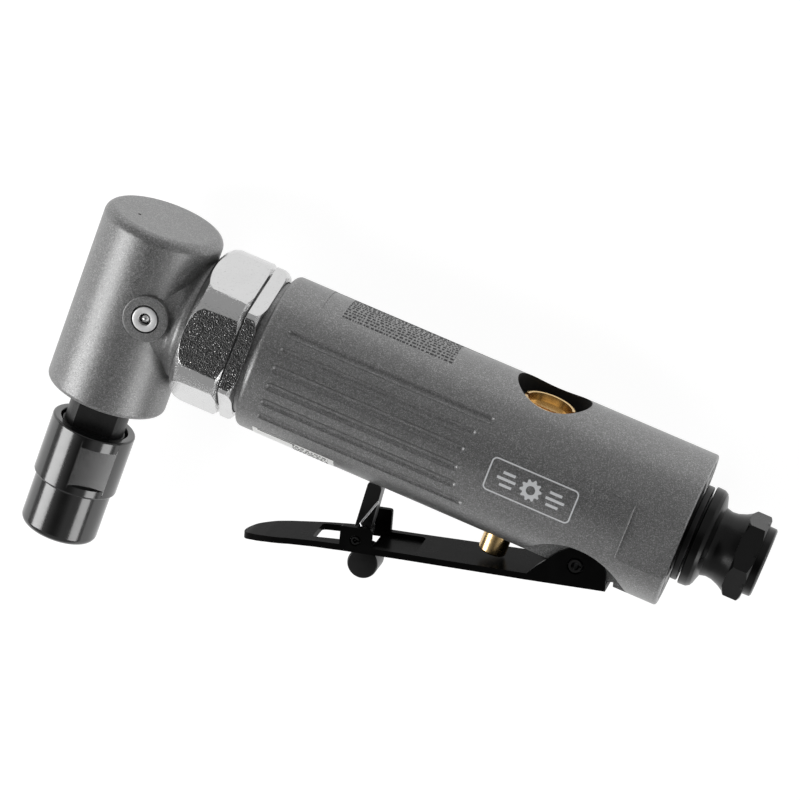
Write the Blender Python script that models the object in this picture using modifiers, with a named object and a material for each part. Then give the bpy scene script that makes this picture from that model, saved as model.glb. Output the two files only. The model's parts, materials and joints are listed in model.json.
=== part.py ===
"""Angle die grinder: an air motor, a bevel-geared head, a throttle lever with a
lock-off latch, and an air inlet.

Every number is in millimetres until MM turns it into metres. The frame has its
origin under the middle of the tool as it lies on its side: +X runs along the motor
to the air inlet, +Y to the closed end of the head, +Z to the grease fitting.
Inside the "motor_axis" empty, X is the motor's axis and Y is the spindle's axis.
"""
import math

import bmesh
import bpy
from mathutils import Matrix, Vector

MM = 0.001

# Where the two main axes cross, in the finished frame
AXES_CROSS = (-69.3, 20.8, 18.1)

# Driving dimensions
HOUSING_R = 18.1
HOUSING_FRONT = 31.4
HOUSING_REAR = 134.2
HEAD_R = 14.0
HEAD_TOP = 19.0
HEAD_BOTTOM = -24.9
NECK_R = 12.8
MOTOR_BORE_R = 13.6
SPIGOT_R = 15.6
SPIGOT_FRONT = 18.3
VALVE_X = 95.3
LEVER_PIVOT = (114.5, -15.3)
LEVER_TILT = 15.7             # degrees between the resting lever and the barrel
LEVER_HALF_WIDTH = 7.5
LEVER_EAR_OUTER = 8.2
TIP_HALF_WIDTH = 6.4          # half width of the lever's finger end
TIP_START = -66.5             # where the finger end starts to round off
TIP_LENGTH = 11.5
TIP_STEPS = 14
PLATE_UNDER = -4.9            # underside of the lever, seen from its pivot
PLATE_THICK = 1.5
LATCH_ALONG = -50.5           # latch pivot, along the lever from the lever's pivot
LATCH_ABOVE = 2.8             # latch pivot above the underside of the lever

GEAR_TEETH = 18
PINION_TEETH = 12
GEAR_PITCH_R = 10.2
PINION_PITCH_R = 6.8
VANES = 5
VENTS = 10
FLUTES = 6                    # on each flank of the barrel
COUPLING_CORNER = 143.5       # angle of one corner of the coupling hexagons
SPINDLE_FLAT_TURN = 10
NUT_FLAT_TURN = 31
BOSS = (5.5, 0.15)            # grease boss, along the motor's and the spindle's axes
SPRING_POINTS = 8             # points on each turn of a coil

COLOURS = {
    "grey_paint": ((0.13, 0.135, 0.14), 0.38, 0.75),
    "chrome": ((0.82, 0.82, 0.83), 0.08, 1.0),
    "black_gloss": ((0.012, 0.012, 0.013), 0.16, 0.3),
    "black_satin": ((0.02, 0.02, 0.021), 0.32, 0.5),
    "black_rough": ((0.035, 0.035, 0.036), 0.55, 0.6),
    "brass": ((0.72, 0.42, 0.14), 0.24, 1.0),
    "bright_steel": ((0.62, 0.62, 0.62), 0.22, 1.0),
    "dark_steel": ((0.23, 0.23, 0.24), 0.4, 0.9),
    "cast_iron": ((0.16, 0.16, 0.17), 0.5, 0.8),
    "rubber": ((0.02, 0.02, 0.02), 0.75, 0.0),
    "felt": ((0.35, 0.34, 0.31), 0.95, 0.0),
    "vane_plastic": ((0.24, 0.13, 0.05), 0.6, 0.0),
}

# Steps round a full turn
BARREL_STEPS = 44
FINE = 36
MEDIUM = 24
COARSE = 14
BEARING_STEPS = 12


# ---------------------------------------------------------------- scene set-up

def clear_scene():
    for item in list(bpy.data.objects):
        bpy.data.objects.remove(item, do_unlink=True)


def new_collection(name):
    group = bpy.data.collections.new(name)
    bpy.context.scene.collection.children.link(group)
    return group


def make_material(name):
    colour, roughness, metallic = COLOURS[name]
    material = bpy.data.materials.new(name)
    material.use_nodes = True
    shader = material.node_tree.nodes["Principled BSDF"]
    shader.inputs["Base Color"].default_value = (*colour, 1.0)
    shader.inputs["Roughness"].default_value = roughness
    shader.inputs["Metallic"].default_value = metallic
    return material


clear_scene()
PARTS = new_collection("die_grinder")
CUTTERS = new_collection("cutters")
MATERIALS = {name: make_material(name) for name in COLOURS}


def empty(name, place, parent=None, tilt=0.0):
    """A frame that pieces are parented to; place is in millimetres."""
    frame = bpy.data.objects.new(name, None)
    PARTS.objects.link(frame)
    frame.parent = parent
    frame.location = Vector(place) * MM
    frame.rotation_euler = (0.0, 0.0, math.radians(tilt))
    return frame


MOTOR_AXIS = empty("motor_axis", AXES_CROSS)
LEVER_AXIS = empty("lever_axis", (*LEVER_PIVOT, 0.0), MOTOR_AXIS, LEVER_TILT)
LATCH_AXIS = empty("latch_axis", (LATCH_ALONG, PLATE_UNDER + LATCH_ABOVE, 0.0), LEVER_AXIS)
VALVE_AXIS = empty("valve_axis", (VALVE_X, 0.0, 0.0), MOTOR_AXIS)

AXIS_TURN = {"X": (0.0, math.pi / 2, 0.0), "Y": (-math.pi / 2, 0.0, 0.0), "Z": (0.0, 0.0, 0.0)}


# ------------------------------------------------------------------- geometry

def rounded(corners, closed=True):
    """Points of an outline whose corners are (a, b) or (a, b, radius, pieces)."""
    points = []
    count = len(corners)
    for index, corner in enumerate(corners):
        here = Vector(corner[:2])
        at_end = not closed and index in (0, count - 1)
        if len(corner) < 3 or at_end:
            points.append(here)
            continue
        radius = corner[2]
        pieces = corner[3] if len(corner) > 3 else 3
        before = (Vector(corners[index - 1][:2]) - here).normalized()
        after = (Vector(corners[(index + 1) % count][:2]) - here).normalized()
        half = before.angle(after) / 2
        middle = here + (before + after).normalized() * radius / math.sin(half)
        start = here + before * radius / math.tan(half) - middle
        sweep = start.angle_signed(here + after * radius / math.tan(half) - middle)
        for step in range(pieces + 1):
            turn = Matrix.Rotation(-sweep * step / pieces, 2)
            points.append(middle + turn @ start)
    return points


def place(item, parent, axis="Z", at=(0.0, 0.0, 0.0)):
    item.parent = parent
    item.location = Vector(at) * MM
    item.rotation_euler = AXIS_TURN[axis]


def finish(item, material):
    """File a piece among the parts, or among the cutters when it has no material."""
    if material is None:
        CUTTERS.objects.link(item)
        item.hide_render = True
        item.display_type = "WIRE"
        return item
    PARTS.objects.link(item)
    item.data.materials.append(MATERIALS[material])
    return item


def smooth(mesh, degrees=30.0):
    mesh.shade_smooth()
    mesh.set_sharp_from_angle(angle=math.radians(degrees))


def lathe(name, corners, material=None, parent=None, axis="X", at=(0, 0, 0),
          steps=MEDIUM, closed=True):
    """A turned piece. Corners are (along the axis, radius, ...), the outer side first
    and running towards the lower end; an open profile starts and ends on the axis."""
    points = rounded(corners, closed)
    mesh = bpy.data.meshes.new(name)
    bm = bmesh.new()
    ring = [bm.verts.new((radius * MM, 0.0, along * MM)) for along, radius in points]
    for first, second in zip(ring, ring[1:] + ring[:1]):
        if closed or second is not ring[0]:
            bm.edges.new((first, second))
    bm.to_mesh(mesh)
    bm.free()
    item = bpy.data.objects.new(name, mesh)
    finish(item, material)
    screw = item.modifiers.new("turned", "SCREW")
    screw.axis = "Z"
    screw.steps = steps
    screw.render_steps = steps
    screw.use_merge_vertices = True
    screw.merge_threshold = 0.000001
    screw.use_smooth_shade = True
    place(item, parent or MOTOR_AXIS, axis, at)
    return item


def rod(name, low, high, radius, material=None, parent=None, axis="X", at=(0, 0, 0),
        steps=COARSE, edge=0.0):
    """A plain round bar between two points on its axis, with optional chamfered ends."""
    if edge:
        corners = [(high, 0), (high, radius - edge), (high - edge, radius),
                   (low + edge, radius), (low, radius - edge), (low, 0)]
    else:
        corners = [(high, 0), (high, radius), (low, radius), (low, 0)]
    return lathe(name, corners, material, parent, axis, at, steps, closed=False)


def ring(name, low, high, inner, outer, material, parent=None, axis="X", at=(0, 0, 0),
         steps=MEDIUM, edge=0.3):
    """A plain ring with chamfered outer edges."""
    corners = [(high, outer - edge), (high - edge, outer), (low + edge, outer),
               (low, outer - edge), (low, inner), (high, inner)]
    return lathe(name, corners, material, parent, axis, at, steps)


def slab(name, corners, low, high, material=None, parent=None):
    """A flat outline raised from low to high along its own Z."""
    points = rounded(corners)
    curve = bpy.data.curves.new(name, "CURVE")
    curve.dimensions = "2D"
    curve.fill_mode = "BOTH"
    curve.extrude = (high - low) / 2 * MM
    spline = curve.splines.new("POLY")
    spline.points.add(len(points) - 1)
    for point, (across, up) in zip(spline.points, points):
        point.co = (across * MM, up * MM, 0.0, 1.0)
    spline.use_cyclic_u = True
    guide = bpy.data.objects.new(name + "_outline", curve)
    CUTTERS.objects.link(guide)
    evaluated = guide.evaluated_get(bpy.context.evaluated_depsgraph_get())
    mesh = bpy.data.meshes.new_from_object(evaluated)
    bpy.data.objects.remove(guide, do_unlink=True)
    bm = bmesh.new()
    bm.from_mesh(mesh)
    bmesh.ops.remove_doubles(bm, verts=bm.verts, dist=0.000001)
    bmesh.ops.recalc_face_normals(bm, faces=bm.faces)
    bmesh.ops.translate(bm, verts=bm.verts, vec=(0.0, 0.0, (low + high) / 2 * MM))
    bm.to_mesh(mesh)
    bm.free()
    mesh.name = name
    item = bpy.data.objects.new(name, mesh)
    finish(item, material)
    item.parent = parent or MOTOR_AXIS
    return item


def block(name, low, high, material=None, parent=None, turn=None):
    """A box between two opposite corners; turn is an optional rotation matrix."""
    mesh = bpy.data.meshes.new(name)
    bm = bmesh.new()
    bmesh.ops.create_cube(bm, size=1.0)
    size = [(b - a) * MM for a, b in zip(low, high)]
    middle = [(a + b) / 2 * MM for a, b in zip(low, high)]
    bmesh.ops.scale(bm, verts=bm.verts, vec=size)
    bmesh.ops.translate(bm, verts=bm.verts, vec=middle)
    if turn is not None:
        bmesh.ops.transform(bm, matrix=turn, verts=bm.verts)
    bm.to_mesh(mesh)
    bm.free()
    item = bpy.data.objects.new(name, mesh)
    finish(item, material)
    item.parent = parent or MOTOR_AXIS
    return item


def hexagon(name, flats, low, high, first):
    """A hexagonal cutter on the motor's axis; first is one corner's angle."""
    sides = 6
    radius = flats / 2 / math.cos(math.pi / sides)
    mesh = bpy.data.meshes.new(name)
    bm = bmesh.new()
    bmesh.ops.create_cone(bm, cap_ends=True, segments=sides, radius1=radius * MM,
                          radius2=radius * MM, depth=(high - low) * MM)
    bmesh.ops.rotate(bm, verts=bm.verts, matrix=Matrix.Rotation(math.radians(first - 90), 3, "Z"))
    bmesh.ops.translate(bm, verts=bm.verts, vec=(0, 0, (low + high) / 2 * MM))
    bm.to_mesh(mesh)
    bm.free()
    item = finish(bpy.data.objects.new(name, mesh), None)
    place(item, MOTOR_AXIS, "X")
    return item


def combine(item, operation, *others):
    for other in others:
        modifier = item.modifiers.new(other.name, "BOOLEAN")
        modifier.operation = operation
        modifier.solver = "EXACT"
        modifier.object = other
    return item


def cut(item, *others):
    return combine(item, "DIFFERENCE", *others)


def join(item, *others):
    return combine(item, "UNION", *others)


def trim(item, *others):
    return combine(item, "INTERSECT", *others)


def tube(name, points, thickness, material, parent, sides=2, at=(0, 0, 0)):
    """A round wire through the points, with filled ends."""
    curve = bpy.data.curves.new(name, "CURVE")
    curve.dimensions = "3D"
    curve.bevel_depth = thickness / 2 * MM
    curve.bevel_resolution = sides
    curve.use_fill_caps = True
    spline = curve.splines.new("POLY")
    spline.points.add(len(points) - 1)
    for point, where in zip(spline.points, points):
        point.co = (*(Vector(where) * MM), 1.0)
    item = bpy.data.objects.new(name, curve)
    PARTS.objects.link(item)
    curve.materials.append(MATERIALS[material])
    place(item, parent, "Z", at)
    return item


def bearing(name, low, high, bore, outer, parent=None, axis="X"):
    """A ball bearing as one ring, its shields set back between the two races."""
    race = (outer - bore) * 0.26
    sunk = 0.35
    corners = [(high, outer), (low, outer), (low, outer - race), (low + sunk, outer - race),
               (low + sunk, bore + race), (low, bore + race), (low, bore), (high, bore),
               (high, bore + race), (high - sunk, bore + race), (high - sunk, outer - race),
               (high, outer - race)]
    return lathe(name, corners, "bright_steel", parent, axis, steps=BEARING_STEPS)


# ------------------------------------------------------------------ angle head

def build_head():
    """The head's body: an upright barrel, the neck to the motor and the grease boss."""
    body = lathe("head_housing", [
        (HEAD_TOP, 0), (HEAD_TOP, HEAD_R, 2.3, 4), (HEAD_BOTTOM, HEAD_R, 1.2, 2), (HEAD_BOTTOM, 0),
    ], "grey_paint", axis="Y", steps=FINE, closed=False)
    neck = lathe("neck_body", [
        (25.0, 0), (25.0, 13.3), (18.0, 13.3), (18.0, SPIGOT_R), (15.9, SPIGOT_R),
        (15.9, 14.5), (13.7, 14.5), (13.0, 14.1), (11.8, 13.2), (10.6, NECK_R), (3.0, NECK_R), (3.0, 0),
    ], steps=FINE, closed=False)
    boss = lathe("boss_body", [(14.05, 0), (14.05, 5.4, 0.5, 3), (6.0, 5.4), (6.0, 0)],
                 axis="Z", at=(*BOSS, 0), closed=False)
    hollow = lathe("head_hollow", [
        (15.8, 0), (15.8, 8.3), (9.5, 8.3), (9.5, 11.4), (HEAD_BOTTOM - 2, 11.4), (HEAD_BOTTOM - 2, 0),
    ], axis="Y", steps=FINE, closed=False)
    pinion_bore = rod("pinion_bore", 4.0, 27.0, 8.3, steps=MEDIUM)
    fitting_hole = rod("fitting_hole", 9.0, 16.0, 3.25, axis="Z", at=(*BOSS, 0))
    join(body, neck, boss)
    cut(body, hollow, pinion_bore, fitting_hole)
    return body


def build_grease_fitting():
    """A flush grease fitting in the boss, with its check ball."""
    lathe("grease_fitting", [
        (14.3, 1.9), (14.3, 2.75, 0.25, 2), (9.4, 2.95), (9.4, 0.8), (11.0, 0.8), (12.3, 1.35),
        (13.7, 1.35),
    ], "bright_steel", axis="Z", at=(*BOSS, 0))
    mesh = bpy.data.meshes.new("grease_fitting_ball")
    bm = bmesh.new()
    bmesh.ops.create_uvsphere(bm, u_segments=12, v_segments=8, radius=0.98 * MM)
    bm.to_mesh(mesh)
    bm.free()
    smooth(mesh)
    ball = finish(bpy.data.objects.new("grease_fitting_ball", mesh), "bright_steel")
    place(ball, MOTOR_AXIS, "Z", (*BOSS, 13.05))


def tooth_outline(teeth, root, tip, root_share, tip_share, first_tooth):
    """Straight-sided teeth: shares are a tooth's width as a part of one pitch."""
    pitch = math.tau / teeth
    corners = []
    for index in range(teeth):
        middle = first_tooth + index * pitch
        for radius, offset in ((root, -root_share / 2), (tip, -tip_share / 2),
                               (tip, tip_share / 2), (root, root_share / 2)):
            angle = middle + offset * pitch
            corners.append((radius * math.cos(angle), radius * math.sin(angle)))
    return corners


def toothed_cone(name, teeth, pitch_r, depth, first_tooth):
    """Bevel teeth that all run to the cone's point at the origin; the wide end is
    past the pitch circle, and the blank that it is trimmed with gives the true ends."""
    module = 2 * pitch_r / teeth
    steep = math.hypot(1.0, pitch_r / depth)
    root = pitch_r - 0.72 * module * steep
    tip = pitch_r + 0.45 * module * steep
    outline = tooth_outline(teeth, root, tip, 0.55, 0.16, first_tooth)
    mesh = bpy.data.meshes.new(name)
    bm = bmesh.new()
    wide, narrow = 1.25, 0.45
    ends = []
    for scale in (wide, narrow):
        ends.append([bm.verts.new((x * scale * MM, y * scale * MM, depth * scale * MM))
                     for x, y in outline])
    count = len(outline)
    for index in range(count):
        after = (index + 1) % count
        bm.faces.new((ends[0][index], ends[0][after], ends[1][after], ends[1][index]))
    bm.faces.new(ends[0])
    bm.faces.new(ends[1])
    bmesh.ops.recalc_face_normals(bm, faces=bm.faces)
    bm.to_mesh(mesh)
    bm.free()
    return finish(bpy.data.objects.new(name, mesh), None)


def build_spindle_group():
    """The output spindle with its gear, bearings, retainer, collet and nut."""
    spindle = lathe("spindle", [
        (15.7, 0), (15.7, 4.0, 0.4, 2), (9.0, 4.0), (9.0, 5.0), (-18.5, 5.0), (-18.5, 7.05),
        (-33.6, 7.05), (-33.6, 7.4), (-48.4, 7.4, 0.6, 2), (-48.4, 5.5), (-36.4, 4.1),
        (-36.4, 3.4), (-24.0, 3.4), (-22.4, 0),
    ], "black_rough", axis="Y", steps=MEDIUM, closed=False)
    flat_turn = Matrix.Rotation(math.radians(SPINDLE_FLAT_TURN), 4, "Y")
    for side in (1, -1):
        near, far = sorted((side * 5.35, side * 12.0))
        cut(spindle, block("spindle_flat_%d" % side, (-9, -33.2, near), (9, -25.6, far),
                           turn=flat_turn))

    gear = lathe("bevel_gear", [
        (-4.0, 5.3), (-4.0, 6.45), (-6.55, 10.25), (-7.5, 9.75), (-9.4, 8.6), (-11.7, 8.2, 0.4, 2),
        (-11.7, 5.3),
    ], "dark_steel", axis="Y", steps=COARSE)
    teeth = toothed_cone("gear_teeth", GEAR_TEETH, GEAR_PITCH_R, PINION_PITCH_R,
                         math.pi / GEAR_TEETH)
    place(teeth, MOTOR_AXIS, "Y")
    teeth.rotation_euler = (math.pi / 2, 0.0, 0.0)
    hub = lathe("gear_hub", [
        (-5.2, 0), (-5.2, 6.0), (-8.2, 9.0), (-12.5, 9.0), (-12.5, 0),
    ], axis="Y", steps=COARSE, closed=False)
    join(teeth, hub)
    trim(gear, teeth)

    bearing("upper_spindle_bearing", 10.1, 15.4, 4.3, 8.0, axis="Y")
    bearing("lower_spindle_bearing", -18.2, -12.1, 5.3, 11.1, axis="Y")
    retainer = ring("bearing_retainer", HEAD_BOTTOM + 0.2, -18.5, 7.4, 11.1, "dark_steel", axis="Y")
    for side in (1, -1):
        cut(retainer, rod("retainer_hole_%d" % side, HEAD_BOTTOM - 1, HEAD_BOTTOM + 2.2, 0.8,
                          axis="Y", at=(9.3 * side, 0, 0), steps=12))

    nut = lathe("collet_nut", [
        (-33.0, 8.1), (-33.0, 9.83, 0.5, 3), (-47.6, 9.83, 0.9, 2), (-47.9, 9.0), (-60.6, 9.0, 1.7, 4),
        (-60.6, 5.2), (-59.6, 4.9), (-50.2, 6.1), (-49.6, 7.75), (-33.9, 7.75),
    ], "black_gloss", axis="Y", steps=30)
    nut_turn = Matrix.Rotation(math.radians(NUT_FLAT_TURN), 4, "Y")
    for side in (1, -1):
        near, far = sorted((side * 8.8, side * 14.0))
        cut(nut, block("nut_flat_%d" % side, (-9, -45.6, near), (9, -35.8, far), turn=nut_turn))

    collet = lathe("collet", [
        (-37.0, 3.2), (-37.0, 3.85), (-48.2, 5.15), (-50.4, 5.15), (-50.6, 5.7), (-59.5, 4.5),
        (-60.2, 4.2), (-60.2, 3.2),
    ], "bright_steel", axis="Y", steps=COARSE)
    for index in range(2):
        turn = Matrix.Rotation(math.radians(45 + 90 * index), 4, "Y")
        slot = block("collet_slot_%d" % index, (-0.4, -62, -9), (0.4, -43, 9), turn=turn)
        cut(collet, slot)


# ---------------------------------------------------------------- the coupling

def build_coupling():
    """The chrome hexagon nut that draws the head on to the motor, and its lock ring."""
    nut = lathe("coupling_nut", [
        (26.5, 17.7), (25.8, 18.4), (16.9, 18.4), (15.5, 17.5), (14.7, 16.3), (14.35, 15.2),
        (14.35, 14.9), (15.6, 14.9), (15.6, 15.9), (26.5, 15.9),
    ], "chrome", steps=FINE)
    trim(nut, hexagon("coupling_hexagon", 34.1, 13.0, 27.5, COUPLING_CORNER))
    lock = lathe("lock_ring", [
        (30.2, 17.2), (29.7, 17.9), (29.0, 18.3), (26.9, 18.3), (26.9, 15.9), (30.2, 15.9),
    ], "chrome", steps=FINE)
    trim(lock, hexagon("lock_hexagon", 32.3, 26.0, 31.0, COUPLING_CORNER))


# --------------------------------------------------------------- motor housing

def build_housing():
    """The barrel: motor bore in front, valve chamber across it, inlet at the rear."""
    body = lathe("motor_housing", [
        (102.0, 0), (102.0, 4.8), (122.0, 4.8), (122.0, 9.3), (130.3, 9.3), (130.3, 16.4),
        (HOUSING_REAR, 16.4), (HOUSING_REAR, HOUSING_R, 0.5, 2), (HOUSING_FRONT, HOUSING_R, 1.5, 4),
        (HOUSING_FRONT, SPIGOT_R), (SPIGOT_FRONT, SPIGOT_R), (SPIGOT_FRONT, MOTOR_BORE_R),
        (81.2, MOTOR_BORE_R), (81.2, 10.2), (86.8, 10.2), (86.8, 0),
    ], "grey_paint", steps=BARREL_STEPS, closed=False)

    # flutes on both flanks, as grooves with round ends
    flute_r = 1.25
    flute_out = HOUSING_R + 0.62
    for side in (1, -1):
        for index in range(FLUTES):
            angle = math.radians(36.2 - 13.5 * index)
            bow = abs(index - 2.5) - 0.5
            rear = 83.4 + 0.85 * bow * bow
            corners = [(rear, 0), (rear, flute_r, flute_r * 0.98, 3),
                       (36.5, flute_r, flute_r * 0.98, 3), (36.5, 0)]
            where = (0, flute_out * math.sin(angle), side * flute_out * math.cos(angle))
            groove = lathe("flute_%d_%d" % (side, index), corners, at=where, steps=8, closed=False)
            cut(body, groove)

    # wrench flats at the rear, with a sloping front end
    for side in (1, -1):
        outline = [(121.2, 19.5), (122.3, 16.75), (140.0, 16.75), (140.0, 19.5)]
        flat = slab("housing_flat_%d" % side, outline, -12, 12)
        flat.rotation_euler = (math.pi / 2 * side, 0.0, 0.0)
        flat.location = Vector((0, 0.8, 0)) * MM
        cut(body, flat)

    # regulator recess, valve chamber, plunger bore and its seal groove, all on one axis
    cut(body, lathe("valve_bore", [
        (24.0, 0), (24.0, 8.8), (13.1, 8.8), (13.1, 6.6), (-9.0, 6.6), (-9.0, 3.5), (-13.0, 3.5),
        (-13.0, 4.9), (-15.0, 4.9), (-15.0, 3.5), (-22.0, 3.5), (-22.0, 0),
    ], axis="Y", at=(VALVE_X, 0, 0), steps=MEDIUM, closed=False))

    # air to the motor, and two exhaust ways to the muffler
    cut(body, rod("air_way", 86.0, 91.0, 2.2, at=(0, -6.0, 0), steps=16))
    for side in (1, -1):
        cut(body, rod("exhaust_way_%d" % side, 80.2, 131.5, 1.6, at=(0, 6.5, side * 10.5), steps=16))

    # scallops for the lever's ears and the slanted seat over the lever
    for side in (1, -1):
        low, high = sorted((side * 6.6, side * 20.0))
        cut(body, rod("scallop_%d" % side, low, high, 14.0, axis="Z", at=(114.6, -22.6, 0), steps=48))
    cut(body, block("lever_seat", (-3.4, -14, -8.7), (8.6, PLATE_UNDER + PLATE_THICK + 0.4, 8.7),
                    parent=LEVER_AXIS))
    cut(body, rod("lever_pin_hole", -8, 8, 1.9, axis="Z", parent=LEVER_AXIS, steps=20))

    # shallow landing under the barrel, so the latch can swing while the lever rises
    cut(body, block("latch_landing", (58.0, -20, -4.2), (76.0, -16.35, 4.2)))
    return body


# ------------------------------------------------------------------- air motor

def build_pinion():
    """Driving pinion, its shaft and the socket that takes the rotor's nose."""
    pinion = lathe("bevel_pinion", [
        (26.2, 0), (26.2, 2.8), (31.5, 2.8), (31.5, 5.0), (25.4, 5.0), (25.4, 3.0), (11.2, 3.0),
        (11.2, 5.9), (10.65, 6.1), (9.85, 7.25), (6.5, 4.8), (6.5, 0),
    ], "dark_steel", steps=COARSE, closed=False)
    teeth = toothed_cone("pinion_teeth", PINION_TEETH, PINION_PITCH_R, GEAR_PITCH_R, 0.0)
    place(teeth, MOTOR_AXIS, "X")
    shaft = lathe("pinion_core", [(33.0, 0), (33.0, 6.5), (10.3, 6.5), (8.0, 4.0), (8.0, 0)],
                  steps=COARSE, closed=False)
    join(teeth, shaft)
    trim(pinion, teeth)
    bearing("front_pinion_bearing", 11.6, 16.6, 3.3, 8.0)
    ring("pinion_spacer", 16.9, 19.4, 4.6, 8.0, "dark_steel", steps=COARSE)
    bearing("rear_pinion_bearing", 19.7, 24.7, 3.3, 8.0)


def build_motor():
    """Eccentric cylinder, rotor with its vanes, end plates and their bearings."""
    lathe("front_end_plate", [
        (41.3, 13.3), (38.3, 13.3), (38.3, 10.0), (32.7, 10.0), (32.7, 8.3), (38.3, 8.3),
        (38.3, 4.4), (41.3, 4.4),
    ], "cast_iron")
    rear = lathe("rear_end_plate", [
        (86.4, 9.9), (80.9, 9.9), (80.9, 13.3), (77.9, 13.3), (77.9, 4.4), (81.0, 4.4),
        (81.0, 8.3), (86.4, 8.3),
    ], "cast_iron")
    for side in (1, -1):
        cut(rear, rod("plate_port_%d" % side, 77.0, 82.0, 1.3, at=(0, 6.5, side * 10.0), steps=12))
    bearing("front_motor_bearing", 33.0, 38.0, 4.0, 8.0)
    bearing("rear_motor_bearing", 81.3, 86.1, 4.0, 8.0)

    cylinder = rod("motor_cylinder", 41.6, 77.6, 13.3, "cast_iron", steps=MEDIUM)
    cut(cylinder, rod("eccentric_bore", 40.0, 79.0, 10.7, at=(0, 0.8, 0), steps=MEDIUM))
    for index in range(4):
        along = 48.0 + 7.5 * index
        cut(cylinder, rod("exhaust_slot_%d" % index, 8.0, 16.0, 1.5, axis="Z", at=(along, 2.0, 0),
                          steps=12))

    rotor = lathe("rotor", [
        (86.0, 0), (86.0, 3.7, 0.3, 1), (77.3, 3.7), (77.3, 9.5), (41.9, 9.5), (41.9, 3.7),
        (31.8, 3.7), (31.8, 2.4), (26.6, 2.4), (26.6, 0),
    ], "bright_steel", steps=MEDIUM, closed=False)
    for index in range(VANES):
        turn = Matrix.Rotation(math.tau * index / VANES, 4, "X")
        cut(rotor, block("vane_slot_%d" % index, (40.0, 4.2, -1.0), (79.0, 12.0, 1.0), turn=turn))
        vane = block("vane_%d" % (index + 1), (42.1, 4.6, -0.7), (77.1, 9.35, 0.7),
                     "vane_plastic", turn=turn)
        bevel = vane.modifiers.new("rounded_tip", "BEVEL")
        bevel.width = 0.3 * MM
        bevel.segments = 1


# ------------------------------------------------------------------- the valve

def build_valve():
    """Regulator screw, throttle plunger, seat, poppet, spring and seals."""
    screw = lathe("regulator_screw", [
        (13.0, 0), (13.0, 4.9), (14.8, 5.3), (14.8, 6.15, 0.25, 2), (10.9, 6.15), (10.9, 5.1),
        (9.3, 5.1), (9.3, 6.15), (7.3, 6.15, 0.3, 1), (7.3, 0),
    ], "brass", VALVE_AXIS, axis="Y", steps=MEDIUM, closed=False)
    cut(screw, block("screwdriver_slot", (-8, 12.4, -0.75), (8, 16, 0.75), parent=VALVE_AXIS))
    lathe("regulator_seal", [
        (10.1 + 0.45 * math.sin(turn), 5.85 + 0.42 * math.cos(turn))
        for turn in (math.tau * (1.5 - step) / 6 for step in range(6))
    ], "rubber", VALVE_AXIS, axis="Y", steps=COARSE)
    lathe("plunger_seal", [
        (-14.0 + 0.6 * math.sin(turn), 4.15 + 0.6 * math.cos(turn))
        for turn in (math.tau * (1.5 - step) / 6 for step in range(6))
    ], "rubber", VALVE_AXIS, axis="Y", steps=16)
    ring("valve_seat", -8.7, -5.9, 2.7, 6.3, "brass", VALVE_AXIS, "Y", steps=COARSE)
    lathe("throttle_pin", [
        (-5.9, 0), (-5.9, 2.2), (-12.0, 2.2), (-12.0, 3.2, 0.2, 1), (-23.0, 3.2, 0.5, 2), (-23.0, 0),
    ], "brass", VALVE_AXIS, axis="Y", steps=COARSE, closed=False)
    lathe("valve_poppet", [
        (-2.4, 0), (-2.4, 2.0), (-3.6, 2.2), (-3.6, 5.0), (-5.6, 5.0, 0.4, 1), (-5.6, 0),
    ], "rubber", VALVE_AXIS, axis="Y", steps=COARSE, closed=False)
    turns = 4.5
    low, high = -2.95, 6.65
    coil = []
    for step in range(int(turns * SPRING_POINTS) + 1):
        angle = math.tau * step / SPRING_POINTS
        climb = step / (turns * SPRING_POINTS)
        coil.append((3.6 * math.cos(angle), low + (high - low) * climb, 3.6 * math.sin(angle)))
    tube("valve_spring", coil, 0.7, "bright_steel", VALVE_AXIS, sides=0)


# --------------------------------------------------------- lever and its latch

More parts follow.
